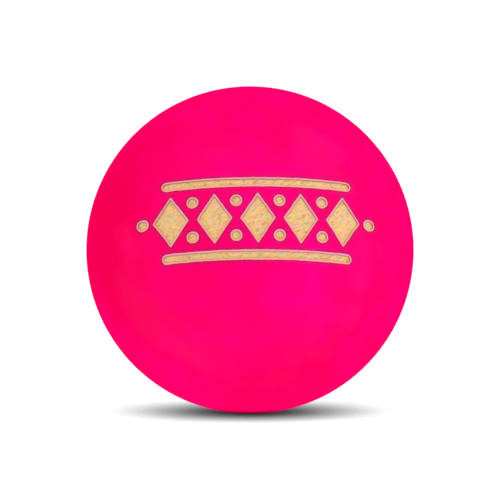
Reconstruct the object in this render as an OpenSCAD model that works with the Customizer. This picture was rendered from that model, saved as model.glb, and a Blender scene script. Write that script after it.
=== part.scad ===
// Petanque jack: the small target ball of the game, turned from hardwood, sealed
// with a pale undercoat and painted fluorescent pink. A plain ornament is engraved
// through both coats into the wood. The origin is the ball's centre, +Z is up, and
// the ornament faces -Y, the front.

/* [Ball] */
// Diameter of the finished ball, over the paint
ball_d = 30; // [29:0.5:31]
// Thickness of the pink topcoat
topcoat_t = 0.06; // [0.05:0.01:0.20]
// Thickness of the pale undercoat
undercoat_t = 0.05; // [0.05:0.01:0.20]

/* [Engraving] */
// Depth of the engraving below the surface of the wood
engraving_depth = 0.09; // [0.05:0.01:0.40]
// Width of the undercoat left bare round every engraved figure
ledge_w = 0.13; // [0.05:0.01:0.18]
// Turn of the ornament's centre from the front towards +X, in degrees
ornament_azimuth = 2.8; // [-30:0.1:30]
// Height of the ornament's centre above the equator, in degrees
ornament_elevation = 13.5; // [-30:0.1:30]

/* [Ornament] */
// Number of lozenges in the row
lozenge_count = 5; // [3:2:5]
// Width of a lozenge
lozenge_w = 2.8; // [2:0.1:3]
// Height of a lozenge
lozenge_h = 4.1; // [3:0.1:4.2]
// Distance from one lozenge to the next
lozenge_pitch = 3.8; // [3.7:0.1:4]
// Diameter of a dot
dot_d = 0.8; // [0.5:0.1:1]
// Distance of the dots between the lozenges from the row's middle line
dot_rise = 1.55; // [1.4:0.05:1.7]
// Distance from the last lozenge to the middle of the dot that ends the row
end_dot_gap = 1.05; // [1:0.05:1.2]
// Overall length of a border bar
bar_l = 16.5; // [14:0.5:18]
// Width of a border bar
bar_w = 0.62; // [0.4:0.02:0.8]
// Distance of each border bar from the row's middle line
bar_rise = 3.25; // [3.2:0.05:3.8]

/* [Hidden] */
$fn = 160;

ball_r = ball_d / 2;
undercoat_r = ball_r - topcoat_t;
wood_r = undercoat_r - undercoat_t;
engraved_r = wood_r - engraving_depth;

row_half_l = (lozenge_count - 1) / 2 * lozenge_pitch;
end_dot_x = row_half_l + lozenge_w / 2 + end_dot_gap;
ornament_reach = ledge_w + max(end_dot_x + dot_d / 2, norm([bar_l, 2 * bar_rise + bar_w]) / 2);

// The figures are cut straight in along one axis, between two distances from the
// ball's centre: the near one lies inside the engraved floor, the far one outside.
cut_margin = 0.5;
cut_near = sqrt(pow(engraved_r, 2) - pow(ornament_reach, 2)) - cut_margin;
cut_far = ball_r + cut_margin;

// A lozenge widened by grow on every side, measured square to its edges.
module lozenge(grow) {
    half_w = lozenge_w / 2;
    half_h = lozenge_h / 2;
    edge = norm([half_w, half_h]);
    w = half_w + grow * edge / half_h;
    h = half_h + grow * edge / half_w;
    polygon([[w, 0], [0, h], [-w, 0], [0, -h]]);
}

module dot(grow) {
    circle(d = dot_d + 2 * grow);
}

// A straight bar with round ends.
module bar(grow) {
    square([bar_l - bar_w, bar_w + 2 * grow], center = true);
    for (side = [-1, 1])
        translate([side * (bar_l - bar_w) / 2, 0])
            circle(d = bar_w + 2 * grow);
}

// The whole ornament, flat: a row of lozenges with dots between them and at both
// ends, and a bar above and below.
module ornament(grow) {
    for (i = [0 : lozenge_count - 1])
        translate([i * lozenge_pitch - row_half_l, 0])
            lozenge(grow);
    for (i = [0.5 : lozenge_count - 1.5], side = [-1, 1])
        translate([i * lozenge_pitch - row_half_l, side * dot_rise])
            dot(grow);
    for (side = [-1, 1]) {
        translate([side * end_dot_x, 0])
            dot(grow);
        translate([0, side * bar_rise])
            bar(grow);
    }
}

// The ornament as straight prisms, in their place on the ball.
module cutter(grow) {
    rotate([0, 0, ornament_azimuth])
        rotate([90 - ornament_elevation, 0, 0])
            translate([0, 0, cut_near])
                linear_extrude(height = cut_far - cut_near)
                    ornament(grow);
}

// A coat of paint between two radii, with the ornament's windows cut through it.
module coat(inner_r, outer_r, grow) {
    difference() {
        sphere(r = outer_r);
        sphere(r = inner_r);
        cutter(grow);
    }
}

module wood_core() {
    color("burlywood")
        difference() {
            sphere(r = wood_r);
            difference() {
                cutter(0);
                sphere(r = engraved_r);
            }
        }
}

module undercoat() {
    color("lightpink")
        coat(wood_r, undercoat_r, 0);
}

module pink_topcoat() {
    color("deeppink")
        coat(undercoat_r, ball_r, ledge_w);
}

wood_core();
undercoat();
pink_topcoat();
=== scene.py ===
"""The looks of a petanque jack: a turned hardwood ball, sealed with a pale undercoat,
painted fluorescent pink and engraved through both coats with a plain ornament.

Three closed meshes replace the three CAD nodes. They share one net of points, so the
coats lie on each other exactly. The net of the engraved cap is worked out in the plane
square to the engraving's axis, where every figure of the ornament has its true shape.
"""

import math

import bpy
import numpy as np
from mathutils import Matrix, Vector, noise
from mathutils.geometry import delaunay_2d_cdt


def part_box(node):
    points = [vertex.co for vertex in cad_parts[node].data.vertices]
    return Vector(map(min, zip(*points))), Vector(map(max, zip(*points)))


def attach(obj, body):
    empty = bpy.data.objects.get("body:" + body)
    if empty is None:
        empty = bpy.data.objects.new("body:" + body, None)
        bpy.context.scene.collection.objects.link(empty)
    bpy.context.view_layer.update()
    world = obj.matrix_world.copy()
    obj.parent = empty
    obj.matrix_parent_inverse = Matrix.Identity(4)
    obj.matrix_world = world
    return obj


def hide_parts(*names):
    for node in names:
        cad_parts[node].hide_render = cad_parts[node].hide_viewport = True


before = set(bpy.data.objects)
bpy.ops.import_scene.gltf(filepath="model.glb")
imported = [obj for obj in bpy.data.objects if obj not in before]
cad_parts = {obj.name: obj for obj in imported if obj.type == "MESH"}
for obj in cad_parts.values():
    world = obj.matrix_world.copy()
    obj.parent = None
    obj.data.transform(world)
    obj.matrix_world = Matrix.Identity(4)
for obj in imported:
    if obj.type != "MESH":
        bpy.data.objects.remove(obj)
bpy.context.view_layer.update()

MM = 0.001
TINY = 1e-18  # divides in place of a squared length of zero


def radius_of(node):
    """Outer radius of a round CAD node."""
    low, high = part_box(node)
    return max(high - low) / 2


# The ball's three surfaces come from the frame, and the engraving goes this far below
# the surface of the wood.
PAINT_R = radius_of("pink_topcoat")
SEALED_R = radius_of("undercoat")
WOOD_R = radius_of("wood_core")
ENGRAVING_DEPTH = 0.09 * MM
ENGRAVED_R = WOOD_R - ENGRAVING_DEPTH

# The ornament, as in the CAD source: where its centre is on the ball, in degrees to the
# right of the front and above the equator, then its figures.
ORNAMENT_AZIMUTH, ORNAMENT_ELEVATION = math.radians(2.8), math.radians(13.5)
LOZENGE_COUNT, LOZENGE_PITCH = 5, 3.8 * MM
LOZENGE_W, LOZENGE_H = 2.8 * MM, 4.1 * MM
DOT_D, DOT_RISE, END_DOT_GAP = 0.8 * MM, 1.55 * MM, 1.05 * MM
BAR_L, BAR_W, BAR_RISE = 16.5 * MM, 0.62 * MM, 3.25 * MM
LEDGE_W = 0.13 * MM

# Small radii that the laser and the paint leave: a lozenge's corners, and the rolled
# edges of the two coats.
CORNER_R = 0.08 * MM
TOPCOAT_LIP = 0.045 * MM
UNDERCOAT_LIP = 0.03 * MM

# The net: its cap reaches this far from the engraving's axis. Its points are FINE apart
# on the bare wood and near the edges of the paint. From THIN_FROM millimetres out, the gap
# doubles level by level, and sooner with a larger THIN_RATE. Along an outline, CLEARANCE is
# the share of the gap that is kept free.
CAP_R = 12 * MM
FINE = 0.078 * MM
COARSEST_LEVEL = 2
THIN_FROM, THIN_RATE = 0.2, 5
CLEARANCE = 0.55
OUTLINE_STEP = 0.085 * MM
ARC_STEP = math.radians(14)

# The rest of the ball: rings from the cap's rim to BACK_ANGLE, then a square grid.
BACK_GRID = 48
RIM = 4 * BACK_GRID
RINGS = 50
BACK_ANGLE = math.radians(135)

# Distances from a figure's outline at which the net has a line of points of its own.
FLOOR_LINES = [-0.10 * MM, -0.04 * MM]
LEDGE_LINES = [0.0, UNDERCOAT_LIP * 0.3, UNDERCOAT_LIP, 0.08 * MM]
PAINT_LINES = [LEDGE_W + d for d in (0.0, TOPCOAT_LIP * 0.3, TOPCOAT_LIP, 0.10 * MM, 0.15 * MM)]
LINES = FLOOR_LINES + LEDGE_LINES + PAINT_LINES

# How far the outlines waver, in two sizes of wave, and the waves in each millimetre.
WAVER, WAVES = 0.03 * MM, 1.3
FINE_WAVER, FINE_WAVES = 0.012 * MM, 4.0
WAVER_SEED = 1

# The wood's fibres rise to the right at this angle in the ornament's plane, and run
# a little into the ball.
FIBRE_ANGLE = math.radians(24)
FIBRE_DIP = math.radians(12)

# The engraved floor's relief is a sum of noises. Each has its waves in each millimetre
# along and across the fibres, a shift that keeps it apart from the others, and a share.
RELIEF = 0.022 * MM
FIBRE_NOISES = [(0.8, 4.5, 0, 1.1), (2.2, 8, 40, 0.7), (5, 6, 80, 0.5)]

# A pore opens where its noise passes PORE_FROM, and is at its deepest PORE_OVER above that.
# PORE_SHARE is its depth as a share of the relief.
PORE_WAVES, PORE_SHIFT = (2.4, 7), (11, 5)
PORE_FROM, PORE_OVER = 0.46, 0.12
PORE_SHARE = 1.6

# The relief and the pores fade out over this distance towards the cut.
FLOOR_FADE = 0.1 * MM

# The edge mark, in millimetres, of a point that is nowhere near a figure.
FAR_OFF = 10.0

SHARP_ANGLE = math.radians(55)


# ---------------------------------------------------------------- ornament's figures


def lozenge(grow):
    """A lozenge widened by grow: its corners, moved in, and the reach that rounds them."""
    half = np.array([LOZENGE_W, LOZENGE_H]) / 2
    half = half + (grow - CORNER_R) * np.hypot(*half) / half[::-1]
    w, h = half
    return np.array([[w, 0], [0, h], [-w, 0], [0, -h]]), CORNER_R


def bar(grow):
    """A bar with round ends, widened by grow: the centres of its ends and their radius."""
    end = (BAR_L - BAR_W) / 2
    return np.array([[end, 0], [-end, 0]]), BAR_W / 2 + grow


def dot(grow):
    return np.zeros((1, 2)), DOT_D / 2 + grow


def ornament():
    """Every figure as (shape, centre)."""
    half_row = (LOZENGE_COUNT - 1) / 2 * LOZENGE_PITCH
    figures = [(lozenge, (i * LOZENGE_PITCH - half_row, 0)) for i in range(LOZENGE_COUNT)]
    for side in (-1, 1):
        for i in range(LOZENGE_COUNT - 1):
            figures.append((dot, ((i + 0.5) * LOZENGE_PITCH - half_row, side * DOT_RISE)))
        figures.append((dot, (side * (half_row + LOZENGE_W / 2 + END_DOT_GAP), 0)))
        figures.append((bar, (0, side * BAR_RISE)))
    return figures


FIGURES = ornament()


def outline(shape, centre, grow):
    """Points round a figure widened by grow, anticlockwise. Their number is the same for
    every grow, so that neighbouring lines pair up."""
    corners, reach = shape(grow)
    plain_corners, plain_reach = shape(0)
    count = len(corners)
    points = []
    for i in range(count):
        following = (i + 1) % count
        edge = corners[following] - corners[i]
        before = corners[i] - corners[i - 1]
        if count == 1:
            start, turn = 0.0, 2 * math.pi
        else:
            start = math.atan2(-before[0], before[1])
            turn = (math.atan2(-edge[0], edge[1]) - start) % (2 * math.pi)
        steps = math.ceil(max(turn / ARC_STEP, turn * plain_reach / OUTLINE_STEP))
        angles = start + turn * np.arange(steps + (count > 1)) / steps
        arc = corners[i] + reach * np.column_stack([np.cos(angles), np.sin(angles)])
        points.extend(arc)
        plain_length = np.hypot(*(plain_corners[following] - plain_corners[i]))
        steps = math.ceil(plain_length / OUTLINE_STEP)
        for step in range(1, steps):
            points.append(arc[-1] + edge * step / steps)
    return np.array(points) + centre


def distance(points, grow):
    """Signed distance from points in the ornament's plane to the nearest figure widened
    by grow. It is negative inside a figure."""
    nearest = np.full(len(points), np.inf)
    for shape, centre in FIGURES:
        corners, reach = shape(grow)
        local = points - centre
        gap = np.full(len(points), np.inf)
        inside = np.full(len(points), len(corners) > 2)
        for a, b in zip(corners, np.roll(corners, -1, 0)):
            edge = b - a
            to_point = local - a
            along = np.clip(to_point @ edge / max(edge @ edge, TINY), 0, 1)
            gap = np.minimum(gap, np.linalg.norm(to_point - along[:, None] * edge, axis=1))
            inside &= edge[0] * to_point[:, 1] > edge[1] * to_point[:, 0]
        nearest = np.minimum(nearest, np.where(inside, -gap, gap) - reach)
    return nearest


def rise_of_edge(points):
    """1 beside a figure's upper edge, -1 beside its lower edge."""
    step = np.array([0, 0.01 * MM])
    return (distance(points + step, 0) - distance(points - step, 0)) / (2 * step[1])


# ---------------------------------------------------------------- net of the cap


def flatten(plane):
    """From the ornament's plane to a map that keeps angles, so that triangles that look
    even on the map are even on the ball."""
    rise = np.sqrt(1 - (plane**2).sum(1, keepdims=True) / PAINT_R**2)
    return plane * 2 / (1 + rise)


def unflatten(flat):
    return flat / (1 + (flat**2).sum(1, keepdims=True) / (2 * PAINT_R) ** 2)


def fill_points():
    """A triangular lattice over the cap, fine on the bare wood and near the figures and
    thinned out level by level away from them."""
    row_gap = math.sqrt(3) / 2 * FINE
    reach = math.ceil(flatten(np.array([[0, CAP_R]]))[0, 1] / row_gap)
    i, j = (n.ravel() for n in np.mgrid[-2 * reach : 2 * reach + 1, -reach : reach + 1])
    flat = np.column_stack([(i + j / 2) * FINE, j * row_gap])
    plane = unflatten(flat)
    away = distance(plane, PAINT_LINES[-1])
    deep = -distance(plane, FLOOR_LINES[0])
    level = np.floor(np.log2(np.clip(1 + THIN_RATE * (away / MM - THIN_FROM), 1, None)))
    step = 2 ** np.clip(level, 0, COARSEST_LEVEL).astype(int)
    on_lattice = (i % step == 0) & (j % step == 0)
    clear_of_lines = (away > CLEARANCE * FINE * step) | (deep > CLEARANCE * FINE)
    rim_gap = 2 * math.pi * CAP_R / RIM
    in_cap = np.hypot(*plane.T) < CAP_R - rim_gap / 2
    return flat[on_lattice & clear_of_lines & in_cap]


def cap_net():
    """The cap's points in the ornament's plane, its triangles, how far out from the figures
    each triangle lies, the rim's points in order, and each figure's lines of points."""
    turns = 2 * math.pi * np.arange(RIM) / RIM
    rim = CAP_R * np.column_stack([np.cos(turns), np.sin(turns)])
    blocks = [flatten(rim)]
    lines, count = [], RIM
    for shape, centre in FIGURES:
        for grow in LINES:
            points = flatten(outline(shape, centre, grow))
            lines.append((grow, list(range(count, count + len(points)))))
            blocks.append(points)
            count += len(points)
    blocks.append(fill_points())
    flat = np.concatenate(blocks)
    outlines = [line for _, line in lines]
    whole_net, same_point = 0, 1e-6
    made = delaunay_2d_cdt(
        [Vector(p) for p in flat / MM], [], outlines, whole_net, same_point, True
    )
    points, _, triangles, origins, _, inside = made
    new_index = {old: new for new, olds in enumerate(origins) for old in olds}
    band = [min((lines[k][0] for k in within), default=math.inf) for within in inside]
    loops = {grow: [] for grow in LINES}
    for grow, line in lines:
        loops[grow].append([new_index[k] for k in line])
    plane = unflatten(np.array([tuple(p) for p in points]) * MM)
    triangles = np.array([tuple(t) for t in triangles])
    a, b, c = (plane[triangles[:, k]] for k in range(3))
    turned = (b[:, 0] - a[:, 0]) * (c[:, 1] - a[:, 1]) < (b[:, 1] - a[:, 1]) * (c[:, 0] - a[:, 0])
    triangles[turned] = triangles[turned][:, ::-1]
    return plane, triangles, np.array(band), [new_index[k] for k in range(RIM)], loops


def wavered(points):
    """Points of the ornament's plane, shifted a little so that no outline is quite true.
    The cap's rim stays where it is. Vector noise differs from run to run without a seed."""
    noise.seed_set(WAVER_SEED)
    shift = np.empty((len(points), 2))
    for k, (x, y) in enumerate(points / MM):
        wide = noise.noise_vector(Vector((x, y, 0)) * WAVES)
        fine = noise.noise_vector(Vector((x, y, 5)) * FINE_WAVES)
        shift[k] = (WAVER * wide + FINE_WAVER * fine)[:2]
    fade = np.clip((CAP_R - np.hypot(*points.T)) / MM, 0, 1)
    return points + shift * fade[:, None]


PLANE, TRIANGLES, BAND, RIM_POINTS, LOOPS = cap_net()
FLOOR = BAND <= 0
OUTSIDE_PLAIN = distance(PLANE, 0)
OUTSIDE_LEDGE = distance(PLANE, LEDGE_W)
UPPER_EDGE = rise_of_edge(PLANE)
WAVERED = wavered(PLANE)


# ---------------------------------------------------------------- surfaces of the ball


def on_sphere(plane, radius):
    """Points of a sphere straight above points of the ornament's plane."""
    return np.column_stack([plane, np.sqrt(radius**2 - (plane**2).sum(1))])


def square_to_disc():
    """A square grid of points squeezed into a disc of radius 1, so that the back of the
    ball has no pole. Points are rows of (x, y)."""
    side = np.linspace(-1, 1, BACK_GRID + 1)
    a, b = (n.ravel() for n in np.meshgrid(side, side, indexing="ij"))
    wide = np.abs(a) >= np.abs(b)
    radius = np.where(wide, a, b)
    share = np.where(wide, b, a) / np.where(radius == 0, 1, radius)
    turn = np.where(wide, share * math.pi / 4, math.pi / 2 - share * math.pi / 4)
    return np.column_stack([radius * np.cos(turn), radius * np.sin(turn)])


def grid_edge():
    """Indices of the square grid's edge, anticlockwise from the middle of its +x side."""
    n = BACK_GRID
    half = n // 2
    path = [(n, j) for j in range(half, n)] + [(i, n) for i in range(n, 0, -1)]
    path += [(0, j) for j in range(n, 0, -1)] + [(i, 0) for i in range(n)]
    path += [(n, j) for j in range(half)]
    return [i * (n + 1) + j for i, j in path]


def sheet(radius, lift, in_cap):
    """One whole surface of the ball, less what in_cap leaves out of the cap. lift is the
    height of each of the cap's points above the radius. Returns points and faces."""
    cap = on_sphere(WAVERED, radius + lift)
    turns = 2 * math.pi * np.arange(RIM) / RIM
    start = math.asin(CAP_R / radius)
    polar = np.linspace(start, BACK_ANGLE, RINGS + 1)[1:-1, None]
    x, y = np.sin(polar) * np.cos(turns), np.sin(polar) * np.sin(turns)
    rings = radius * np.stack([x, y, np.cos(polar) + 0 * turns], axis=2).reshape(-1, 3)
    disc = square_to_disc()
    from_pole = np.hypot(*disc.T) * (math.pi - BACK_ANGLE)
    heading = np.arctan2(disc[:, 1], disc[:, 0])
    x, y = np.sin(from_pole) * np.cos(heading), np.sin(from_pole) * np.sin(heading)
    back = radius * np.column_stack([x, y, -np.cos(from_pole)])

    faces = [tuple(t) for t in TRIANGLES[in_cap]]
    first_ring = len(cap)
    first_back = first_ring + len(rings)
    bands = [RIM_POINTS]
    bands += [range(first_ring + k * RIM, first_ring + (k + 1) * RIM) for k in range(RINGS - 1)]
    bands += [[first_back + k for k in grid_edge()]]
    for near, far in zip(bands, bands[1:]):
        for k in range(RIM):
            following = (k + 1) % RIM
            faces.append((near[k], far[k], far[following], near[following]))
    side = BACK_GRID + 1
    for i in range(BACK_GRID):
        for j in range(BACK_GRID):
            k = first_back + i * side + j
            faces.append((k, k + 1, k + side + 1, k + side))
    return np.concatenate([cap, rings, back]), faces


def rolled(outside, lip):
    """How far a coat's surface drops towards its cut edge, which is rounded by lip."""
    gap = np.clip(lip - np.clip(outside, 0, None), 0, lip)
    return lip - np.sqrt(lip**2 - gap**2)


def walls(grow, top, bottom):
    """Faces between two surfaces along the figures' lines at grow, seen from inside the
    figures. top and bottom are where the two surfaces' points start."""
    faces = []
    for line in LOOPS[grow]:
        for a, b in zip(line, line[1:] + line[:1]):
            faces.append((top + a, top + b, bottom + b, bottom + a))
    return faces


def coat(outer_r, inner_r, lip, grow):
    """A closed shell of paint with windows where the figures, widened by grow, are cut."""
    outside = distance(PLANE, grow)
    in_cap = BAND > grow
    outer, faces = sheet(outer_r, -rolled(outside, lip), in_cap)
    inner, inner_faces = sheet(inner_r, 0, in_cap)
    start = len(outer)
    faces += [tuple(start + k for k in reversed(f)) for f in inner_faces]
    faces += walls(grow, 0, start)
    return np.concatenate([outer, inner]), faces


# ---------------------------------------------------------------- bare wood


def fibre_axes():
    """The directions along and across the fibres, in the engraving's axes."""
    along = np.array(
        [
            math.cos(FIBRE_ANGLE) * math.cos(FIBRE_DIP),
            math.sin(FIBRE_ANGLE) * math.cos(FIBRE_DIP),
            -math.sin(FIBRE_DIP),
        ]
    )
    across = np.array([-math.sin(FIBRE_ANGLE), math.cos(FIBRE_ANGLE), 0])
    return np.array([along, across, np.cross(along, across)])


def fibre_relief(points):
    """Fibres left standing by the laser, from -1 to 1, at each point."""
    relief = np.empty(len(points))
    for k, (along, across, deep) in enumerate(points @ fibre_axes().T / MM):
        relief[k] = sum(
            share * noise.noise(Vector((along * length + shift, across * width, deep * width)))
            for length, width, shift, share in FIBRE_NOISES
        )
    return np.clip(relief, -1, 1)


def pore_depth(points):
    """1 in the middle of a cut-open pore, 0 away from them."""
    depth = np.empty(len(points))
    (length, width), (shift, sideways) = PORE_WAVES, PORE_SHIFT
    for k, (along, across, deep) in enumerate(points @ fibre_axes().T / MM):
        place = Vector((along * length + shift, across * width + sideways, deep * width))
        depth[k] = (noise.noise(place) - PORE_FROM) / PORE_OVER
    return np.clip(depth, 0, 1)


def wood():
    """The turned ball with its engraved recesses, and each point's marks: the relief and
    the pores of the floor, how far in from the cut it is, and which way the cut faces."""
    outer, faces = sheet(WOOD_R, 0, ~FLOOR)
    at_floor = on_sphere(WAVERED, ENGRAVED_R)
    fade = np.clip(-OUTSIDE_PLAIN / FLOOR_FADE, 0, 1)
    used = fade > 0
    relief, pores = np.zeros(len(PLANE)), np.zeros(len(PLANE))
    relief[used] = fibre_relief(at_floor[used])
    pores[used] = pore_depth(at_floor[used])
    height = RELIEF * (relief - PORE_SHARE * pores) * fade
    floor = on_sphere(WAVERED, ENGRAVED_R + height)
    start = len(outer)
    faces += [tuple(start + t) for t in TRIANGLES[FLOOR]]
    faces += walls(0.0, 0, start)
    own = {
        "relief": relief * fade,
        "pore": pores * fade,
        "edge": -OUTSIDE_PLAIN / MM,
        "upper": UPPER_EDGE,
    }
    marks = {name: np.concatenate([np.zeros(start), values]) for name, values in own.items()}
    return np.concatenate([outer, floor]), faces, marks


# ---------------------------------------------------------------- pieces


def engraving_axes():
    """Right, up and outward at the ornament's centre, as rows in the row frame."""
    sin_a, cos_a = math.sin(ORNAMENT_AZIMUTH), math.cos(ORNAMENT_AZIMUTH)
    sin_e, cos_e = math.sin(ORNAMENT_ELEVATION), math.cos(ORNAMENT_ELEVATION)
    return np.array(
        [
            [cos_a, sin_a, 0],
            [-sin_a * sin_e, cos_a * sin_e, cos_e],
            [sin_a * cos_e, -cos_a * cos_e, sin_e],
        ]
    )


def piece(name, node, points, faces, marks):
    """A mesh object that stands for a CAD node. marks are values that its material reads
    at every point."""
    used = np.unique(np.concatenate([np.array(f) for f in faces]))
    renumber = np.full(len(points), -1)
    renumber[used] = np.arange(len(used))
    mesh = bpy.data.meshes.new(name)
    mesh.from_pydata(
        (points[used] @ engraving_axes()).tolist(),
        [],
        [renumber[list(f)].tolist() for f in faces],
    )
    for mark, values in marks.items():
        layer = mesh.attributes.new(mark, "FLOAT", "POINT")
        layer.data.foreach_set("value", values[used].astype(np.float32))
    mesh.shade_smooth()
    mesh.set_sharp_from_angle(angle=SHARP_ANGLE)
    mesh.validate()
    obj = bpy.data.objects.new(name, mesh)
    bpy.context.scene.collection.objects.link(obj)
    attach(obj, "root")
    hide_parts(node)
    return obj


def on_cap(count, values, elsewhere):
    """Values for the points of a coat's outer cap, which come first, and one for all the
    others."""
    return np.concatenate([values, np.full(count - len(values), elsewhere)])


# ---------------------------------------------------------------- materials


class Graph:
    """The node tree of a material or a world, with short ways to add the nodes used here.
    place is where a point is on the object, in millimetres, or its direction in the sky."""

    def __init__(self, owner):
        owner.use_nodes = True
        self.tree = owner.node_tree
        place = self.add("ShaderNodeTexCoord").outputs
        if isinstance(owner, bpy.types.World):
            self.place = place["Generated"]
        else:
            self.place = self.vector("SCALE", place["Object"], scale=1 / MM)

    def add(self, kind, inputs=None, **settings):
        node = self.tree.nodes.new(kind)
        for name, value in settings.items():
            setattr(node, name, value)
        for name, value in (inputs or {}).items():
            self.feed(node.inputs[name], value)
        return node

    def feed(self, socket, value):
        if isinstance(value, bpy.types.NodeSocket):
            self.tree.links.new(value, socket)
        else:
            socket.default_value = value

    def vector(self, operation, a, b=None, scale=None):
        node = self.add("ShaderNodeVectorMath", operation=operation)
        self.feed(node.inputs[0], a)
        if b is not None:
            self.feed(node.inputs[1], b)
        if scale is not None:
            node.inputs["Scale"].default_value = scale
        return node.outputs["Value" if operation in ("DOT_PRODUCT", "DISTANCE") else "Vector"]

    def paint(self, **inputs):
        """Feeds the material's one shader, each input under its name with _ for a space."""
        shader = self.tree.nodes["Principled BSDF"]
        for name, value in inputs.items():
            self.feed(shader.inputs[name.replace("_", " ")], value)

    def math(self, operation, a, b=0.0):
        node = self.add("ShaderNodeMath", operation=operation)
        self.feed(node.inputs[0], a)
        self.feed(node.inputs[1], b)
        return node.outputs[0]

    def mark(self, name):
        return self.add("ShaderNodeAttribute", attribute_name=name).outputs["Fac"]

    def noise(self, place, scale, detail=2.0, roughness=0.5):
        inputs = {"Vector": place, "Scale": scale, "Detail": detail, "Roughness": roughness}
        return self.add("ShaderNodeTexNoise", inputs).outputs["Fac"]

    def specks(self, place, density, size):
        """1 in the middle of round specks strewn at random, 0 between them."""
        inputs = {"Vector": place, "Scale": density}
        gap = self.add("ShaderNodeTexVoronoi", inputs).outputs["Distance"]
        return self.remap(gap, size * 0.4, size, 1.0, 0.0)

    def remap(self, value, low, high, to_low=0.0, to_high=1.0):
        """value from low..high to to_low..to_high, held at the ends, with soft ends."""
        inputs = {0: value, 1: low, 2: high, 3: to_low, 4: to_high}
        node = self.add("ShaderNodeMapRange", inputs, interpolation_type="SMOOTHSTEP")
        return node.outputs[0]

    def mix(self, share, a, b):
        node = self.add("ShaderNodeMix", data_type="RGBA")
        self.feed(node.inputs[0], share)
        self.feed(node.inputs[6], a)
        self.feed(node.inputs[7], b)
        return node.outputs[2]

    def bump(self, height, distance, strength=1.0, normal=None):
        inputs = {"Height": height, "Distance": distance, "Strength": strength}
        if normal is not None:
            inputs["Normal"] = normal
        return self.add("ShaderNodeBump", inputs).outputs["Normal"]

    def stretched(self, axes, scales):
        """Place in millimetres along three axes, each with its own scale."""
        parts = [
            self.vector("DOT_PRODUCT", self.place, tuple(axis * scale))
            for axis, scale in zip(axes, scales)
        ]
        return self.add("ShaderNodeCombineXYZ", dict(enumerate(parts))).outputs[0]


PINK = (1.0, 0.0, 0.128, 1)
PINK_COOL = (1.0, 0.0, 0.160, 1)
# The deeper pink of the painted shade patches.
PINK_PAINTED_SHADE = (0.94, 0.0, 0.085, 1)
# Darker pink for a thin line along the laser's cut.
PINK_CUT_LINE = (0.50, 0.010, 0.094, 1)
PINK_SPECK = (1.0, 0.06, 0.22, 1)
SHEEN, SHEEN_TINT = 0.09, (1.0, 0.0, 1.0, 1)
PALE = (0.98, 0.32, 0.56, 1)
PALE_SCORCHED = (0.93, 0.44, 0.27, 1)
WOOD_GOLD = (0.89, 0.585, 0.26, 1)
WOOD_TAN = (0.82, 0.445, 0.16, 1)
WOOD_PEACH = (0.95, 0.47, 0.35, 1)
WOOD_SAGE = (0.68, 0.58, 0.30, 1)
WOOD_LEMON = (0.84, 0.66, 0.11, 1)
WOOD_DARK = (0.42, 0.22, 0.07, 1)
# Soot with painted shade from the engraving's upper walls.
WOOD_SOOT_AND_SHADE = (0.36, 0.28, 0.17, 1)


# Painted shade: patches of deeper pink on the left side and low at the front, each with
# its middle and its reach, in millimetres, and its strength.
PAINTED_SHADE_PATCHES = [((-12.7, -7.5, 3.0), 14.0, 1.0), ((3.5, -8.0, -12.0), 9.0, 0.55)]


def material(name):
    made = bpy.data.materials.new(name)
    return made, Graph(made)


def pink_lacquer():
    """Fluorescent pink lacquer: satin, with a faint orange peel and a few specks, with painted
    shade in fixed patches of deeper pink on the left and low at the front, and darker pink
    in a thin line along the laser's cut. Its sheen fades towards the rim of the ball as it
    is seen, so that no white shows there."""
    lacquer, g = material("fluorescent_pink_lacquer")
    wander = g.remap(g.noise(g.place, 0.16, 3.0), 0.3, 0.7, -3.0, 3.0)
    colour = g.mix(g.remap(g.noise(g.place, 0.45, 3.0), 0.35, 0.65), PINK, PINK_COOL)
    # Painted shade: fixed patches of deeper pink on the left side and low at the front.
    for middle, reach, strength in PAINTED_SHADE_PATCHES:
        away = g.math("ADD", g.vector("DISTANCE", g.place, middle), wander)
        colour = g.mix(g.remap(away, 2.0, reach, strength, 0.0), colour, PINK_PAINTED_SHADE)
    # Darker pink in a thin line along the cut, uneven along its length.
    cut_line = g.remap(g.mark("edge"), 0.10, 0.34, 1.0, 0.0)
    uneven = g.remap(g.noise(g.place, 2.5), 0.3, 0.7, 0.5, 1.0)
    colour = g.mix(g.math("MULTIPLY", cut_line, uneven), colour, PINK_CUT_LINE)
    specks = g.specks(g.place, 0.33, 0.045)
    colour = g.mix(g.math("MULTIPLY", specks, 0.12), colour, PINK_SPECK)
    peel = g.noise(g.place, 1.6, 1.0)
    fine = g.noise(g.place, 9.0, 2.0)
    facing = g.add("ShaderNodeLayerWeight").outputs["Facing"]
    facing = g.math("ADD", facing, g.remap(wander, -3.0, 3.0, -0.1, 0.1))
    fade = g.remap(facing, 0.0, 0.42, 1.0, 0.0)
    g.paint(
        Base_Color=colour,
        Roughness=g.remap(fine, 0.3, 0.7, 0.42, 0.52),
        Normal=g.bump(fine, 0.0012 * MM, normal=g.bump(peel, 0.006 * MM)),
        Specular_Tint=SHEEN_TINT,
        Specular_IOR_Level=g.math("MULTIPLY", fade, SHEEN),
    )
    return lacquer


def pale_undercoat():
    """Pale pink undercoat, bare in a thin line round each figure. It is scorched towards
    the wood, and the scorched band reaches further out below the figures than above them."""
    undercoat, g = material("pale_undercoat")
    blotch = g.noise(g.place, 2.2, 3.0)
    ragged = g.noise(g.place, 6.0, 2.0)
    reach = g.math("ADD", g.mark("edge"), g.remap(ragged, 0.3, 0.7, -0.06, 0.04))
    # The scorched band reaches further out below each figure and less far above it.
    reach = g.math("ADD", reach, g.remap(g.mark("upper"), -0.9, 0.5, -0.06, 0.03))
    g.paint(
        Base_Color=g.mix(g.remap(reach, 0.0, 0.10), PALE_SCORCHED, PALE),
        Roughness=g.remap(blotch, 0.3, 0.7, 0.55, 0.7),
        Normal=g.bump(g.noise(g.place, 12.0, 2.0), 0.003 * MM),
        Specular_IOR_Level=0.1,
    )
    return undercoat


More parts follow.
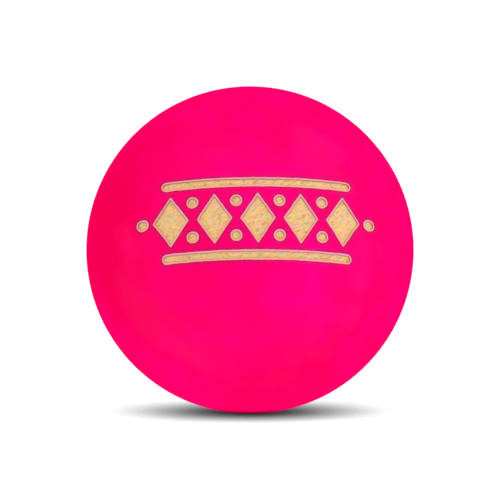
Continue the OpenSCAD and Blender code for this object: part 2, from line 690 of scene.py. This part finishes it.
def bare_hardwood():
    """Fine-grained hardwood: streaks, dashes and pores along the fibres, patches of peach,
    sage and lemon between gold and tan, and a sooty band beside the cut with painted shade
    in it, darkest just below the figures' upper edges, where the upper walls cast shadow."""
    hardwood, g = material("bare_hardwood")
    axes = fibre_axes() @ engraving_axes()
    streaks = g.noise(g.stretched(axes, (0.6, 3.0, 3.0)), 1.0, 4.0, 0.6)
    dashes = g.noise(g.stretched(axes, (2.6, 11.0, 11.0)), 1.0, 3.0, 0.6)
    colour = g.mix(g.remap(streaks, 0.36, 0.60), WOOD_TAN, WOOD_GOLD)
    patches = (
        (WOOD_PEACH, (0.9, 3.7, 3.7), 0.9),
        (WOOD_SAGE, (0.7, 3.0, 3.0), 0.9),
        (WOOD_LEMON, (1.1, 4.4, 4.4), 0.85),
    )
    for tint, scales, share in patches:
        patch = g.noise(g.stretched(axes, scales), 1.0, 2.0, 0.55)
        colour = g.mix(g.remap(patch, 0.50, 0.64, 0.0, share), colour, tint)
    colour = g.mix(g.remap(dashes, 0.50, 0.68, 0.0, 0.6), colour, WOOD_DARK)
    colour = g.mix(g.remap(g.mark("relief"), 0.1, 0.9, 0.0, 0.4), colour, WOOD_GOLD)
    colour = g.mix(g.remap(g.mark("relief"), -0.9, -0.2, 0.3, 0.0), colour, WOOD_DARK)
    # Soot along the cut with painted shade: a darker band inside each figure, strongest just
    # below its upper edge, where the upper wall's shadow falls.
    reach = g.math("ADD", g.mark("edge"), g.remap(dashes, 0.35, 0.65, -0.03, 0.05))
    shade_below_upper_edges = g.remap(g.mark("upper"), -0.6, 0.8, 0.35, 1.0)
    soot_and_shade = g.math("MULTIPLY", g.remap(reach, 0.0, 0.15, 0.8, 0.0), shade_below_upper_edges)
    colour = g.mix(soot_and_shade, colour, WOOD_SOOT_AND_SHADE)
    colour = g.mix(g.math("MULTIPLY", g.mark("pore"), 0.6), colour, WOOD_DARK)
    g.paint(
        Base_Color=colour,
        Roughness=g.remap(dashes, 0.3, 0.7, 0.6, 0.8),
        Normal=g.bump(dashes, 0.01 * MM),
        Specular_IOR_Level=0.08,
    )
    return hardwood


# ---------------------------------------------------------------- the object


def build():
    points, faces, marks = wood()
    core = piece("turned_wood", "wood_core", points, faces, marks)
    core.data.materials.append(bare_hardwood())

    points, faces = coat(SEALED_R, WOOD_R, UNDERCOAT_LIP, 0.0)
    marks = {
        "edge": on_cap(len(points), OUTSIDE_PLAIN / MM, FAR_OFF),
        "upper": on_cap(len(points), UPPER_EDGE, 0),
    }
    under = piece("undercoat_shell", "undercoat", points, faces, marks)
    under.data.materials.append(pale_undercoat())

    points, faces = coat(PAINT_R, SEALED_R, TOPCOAT_LIP, LEDGE_W)
    marks = {"edge": on_cap(len(points), OUTSIDE_LEDGE / MM, FAR_OFF)}
    top = piece(
        "topcoat_shell", "pink_topcoat", points, faces, marks
    )
    top.data.materials.append(pink_lacquer())


build()


# ---------------------------------------------------------------- stage, light, camera


CAMERA_ELEVATION = math.radians(2.4)
LENS, SENSOR = 250.0, 36.0
BALL_SHARE = 0.655  # the ball's diameter as a share of the picture's width
FLOOR_HALF = 3.0
OPEN_SHARE = 0.56  # the share of the dome that a place on the floor sees where it turns white
SHADOW_POWER = 1.6
LIGHT_LEAN = 0.33  # how far the light that makes the shadow leans to the front
WHITE = 1.06  # the floor and the dome as the camera sees them, a little past white
FLOOR_LIGHT = 1.03
CONTACT = (2.0, 5.0)  # the floor's light on the ball grows between these distances, in mm
DOME_LIGHT, DOME_TILT = 1.03, 0.22
DOME_TURN, DOME_RISE = math.radians(90), math.radians(10)
LAMP_AWAY, LAMP_SIDE = 0.2, 0.20

# Soft lamps round the ball, which show only as a sheen on the paint: turn, rise, watts.
LAMPS = [
    (math.radians(50), math.radians(-14), 2.0),
    (math.radians(20), math.radians(66), 1.6),
    (math.radians(150), math.radians(20), 2.0),
    (math.radians(265), math.radians(20), 1.2),
]


def direction(turn, rise):
    """From the ball towards a place turned to the right of the front and raised."""
    flat = math.cos(rise)
    return Vector((math.sin(turn) * flat, -math.cos(turn) * flat, math.sin(rise)))


def aim(obj, back, away):
    """Puts a camera or a lamp away from the ball, in the direction back, facing it."""
    bpy.context.scene.collection.objects.link(obj)
    obj.location = back * away
    obj.rotation_mode = "QUATERNION"
    obj.rotation_quaternion = (-back).to_track_quat("-Z", "Y")


def seen_or_light(g, seen, light):
    """What the camera sees, and what light falls from there on the ball."""
    node = g.add("ShaderNodeMix", data_type="FLOAT")
    g.feed(node.inputs[0], g.add("ShaderNodeLightPath").outputs["Is Camera Ray"])
    g.feed(node.inputs[2], light)
    g.feed(node.inputs[3], seen)
    return node.outputs[0]


def floor():
    """A white floor that glows by itself, less where the ball shuts out the dome. Its
    shadow stays neutral, because no pink light bounces off the ball onto it. From below
    the floor is clear, and the ball seen through it is lit as far as the contact."""
    mesh = bpy.data.meshes.new("floor")
    square = ((-1, -1), (1, -1), (1, 1), (-1, 1))
    corners = [(x * FLOOR_HALF, y * FLOOR_HALF, -PAINT_R) for x, y in square]
    mesh.from_pydata(corners, [], [(0, 1, 2, 3)])
    obj = bpy.data.objects.new("floor", mesh)
    obj.visible_glossy = False
    obj.visible_shadow = False
    bpy.context.scene.collection.objects.link(obj)
    glowing, g = material("white_floor")
    towards_light = g.add("ShaderNodeCombineXYZ", {"Y": -LIGHT_LEAN, "Z": 1.0}).outputs[0]
    inputs = {"Distance": FLOOR_HALF, "Normal": towards_light}
    sky = g.add("ShaderNodeAmbientOcclusion", inputs).outputs["AO"]
    shade = g.math("POWER", g.math("DIVIDE", sky, OPEN_SHARE), SHADOW_POWER)
    contact = g.vector("DISTANCE", g.place, (0, 0, -PAINT_R / MM))
    looked_through = g.add("ShaderNodeLightPath").outputs["Transparent Depth"]
    light = g.math("MAXIMUM", g.remap(contact, *CONTACT), looked_through)
    light = g.math("MULTIPLY", light, FLOOR_LIGHT)
    glow = seen_or_light(g, g.math("MINIMUM", shade, WHITE), light)
    emission = g.add("ShaderNodeEmission", {"Strength": glow})
    clear = g.add("ShaderNodeBsdfTransparent")
    from_below = g.add("ShaderNodeNewGeometry").outputs["Backfacing"]
    inputs = {0: from_below, 1: emission.outputs[0], 2: clear.outputs[0]}
    surface = g.add("ShaderNodeMixShader", inputs).outputs[0]
    g.feed(g.tree.nodes["Material Output"].inputs["Surface"], surface)
    glowing.cycles.emission_sampling = "NONE"
    mesh.materials.append(glowing)


def dome():
    """A white dome that gives a little more light on the right than on the left."""
    world = bpy.data.worlds.new("dome")
    bpy.context.scene.world = world
    g = Graph(world)
    towards = g.vector("DOT_PRODUCT", g.place, direction(DOME_TURN, DOME_RISE))
    light = g.math("ADD", g.math("MULTIPLY", towards, DOME_TILT), DOME_LIGHT)
    background = g.tree.nodes["Background"]
    g.feed(background.inputs["Color"], (1, 1, 1, 1))
    g.feed(background.inputs["Strength"], seen_or_light(g, WHITE, light))
    world.cycles_visibility.glossy = False


def lamps():
    for k, (turn, rise, power) in enumerate(LAMPS):
        data = bpy.data.lights.new(f"softbox_{k}", "AREA")
        data.size = LAMP_SIDE
        data.energy = power
        data.color = SHEEN_TINT[:3]
        obj = bpy.data.objects.new(data.name, data)
        aim(obj, direction(turn, rise), LAMP_AWAY)
        obj.visible_camera = False
        obj.visible_diffuse = False


def camera():
    data = bpy.data.cameras.new("camera")
    data.lens, data.sensor_width = LENS, SENSOR
    data.clip_start, data.clip_end = 0.001, 20
    half_angle = math.atan(BALL_SHARE * SENSOR / 2 / LENS)
    obj = bpy.data.objects.new("camera", data)
    aim(obj, direction(0, CAMERA_ELEVATION), PAINT_R / math.sin(half_angle))
    bpy.context.scene.camera = obj


floor()
dome()
lamps()
camera()
bpy.context.scene.view_settings.view_transform = "Standard"
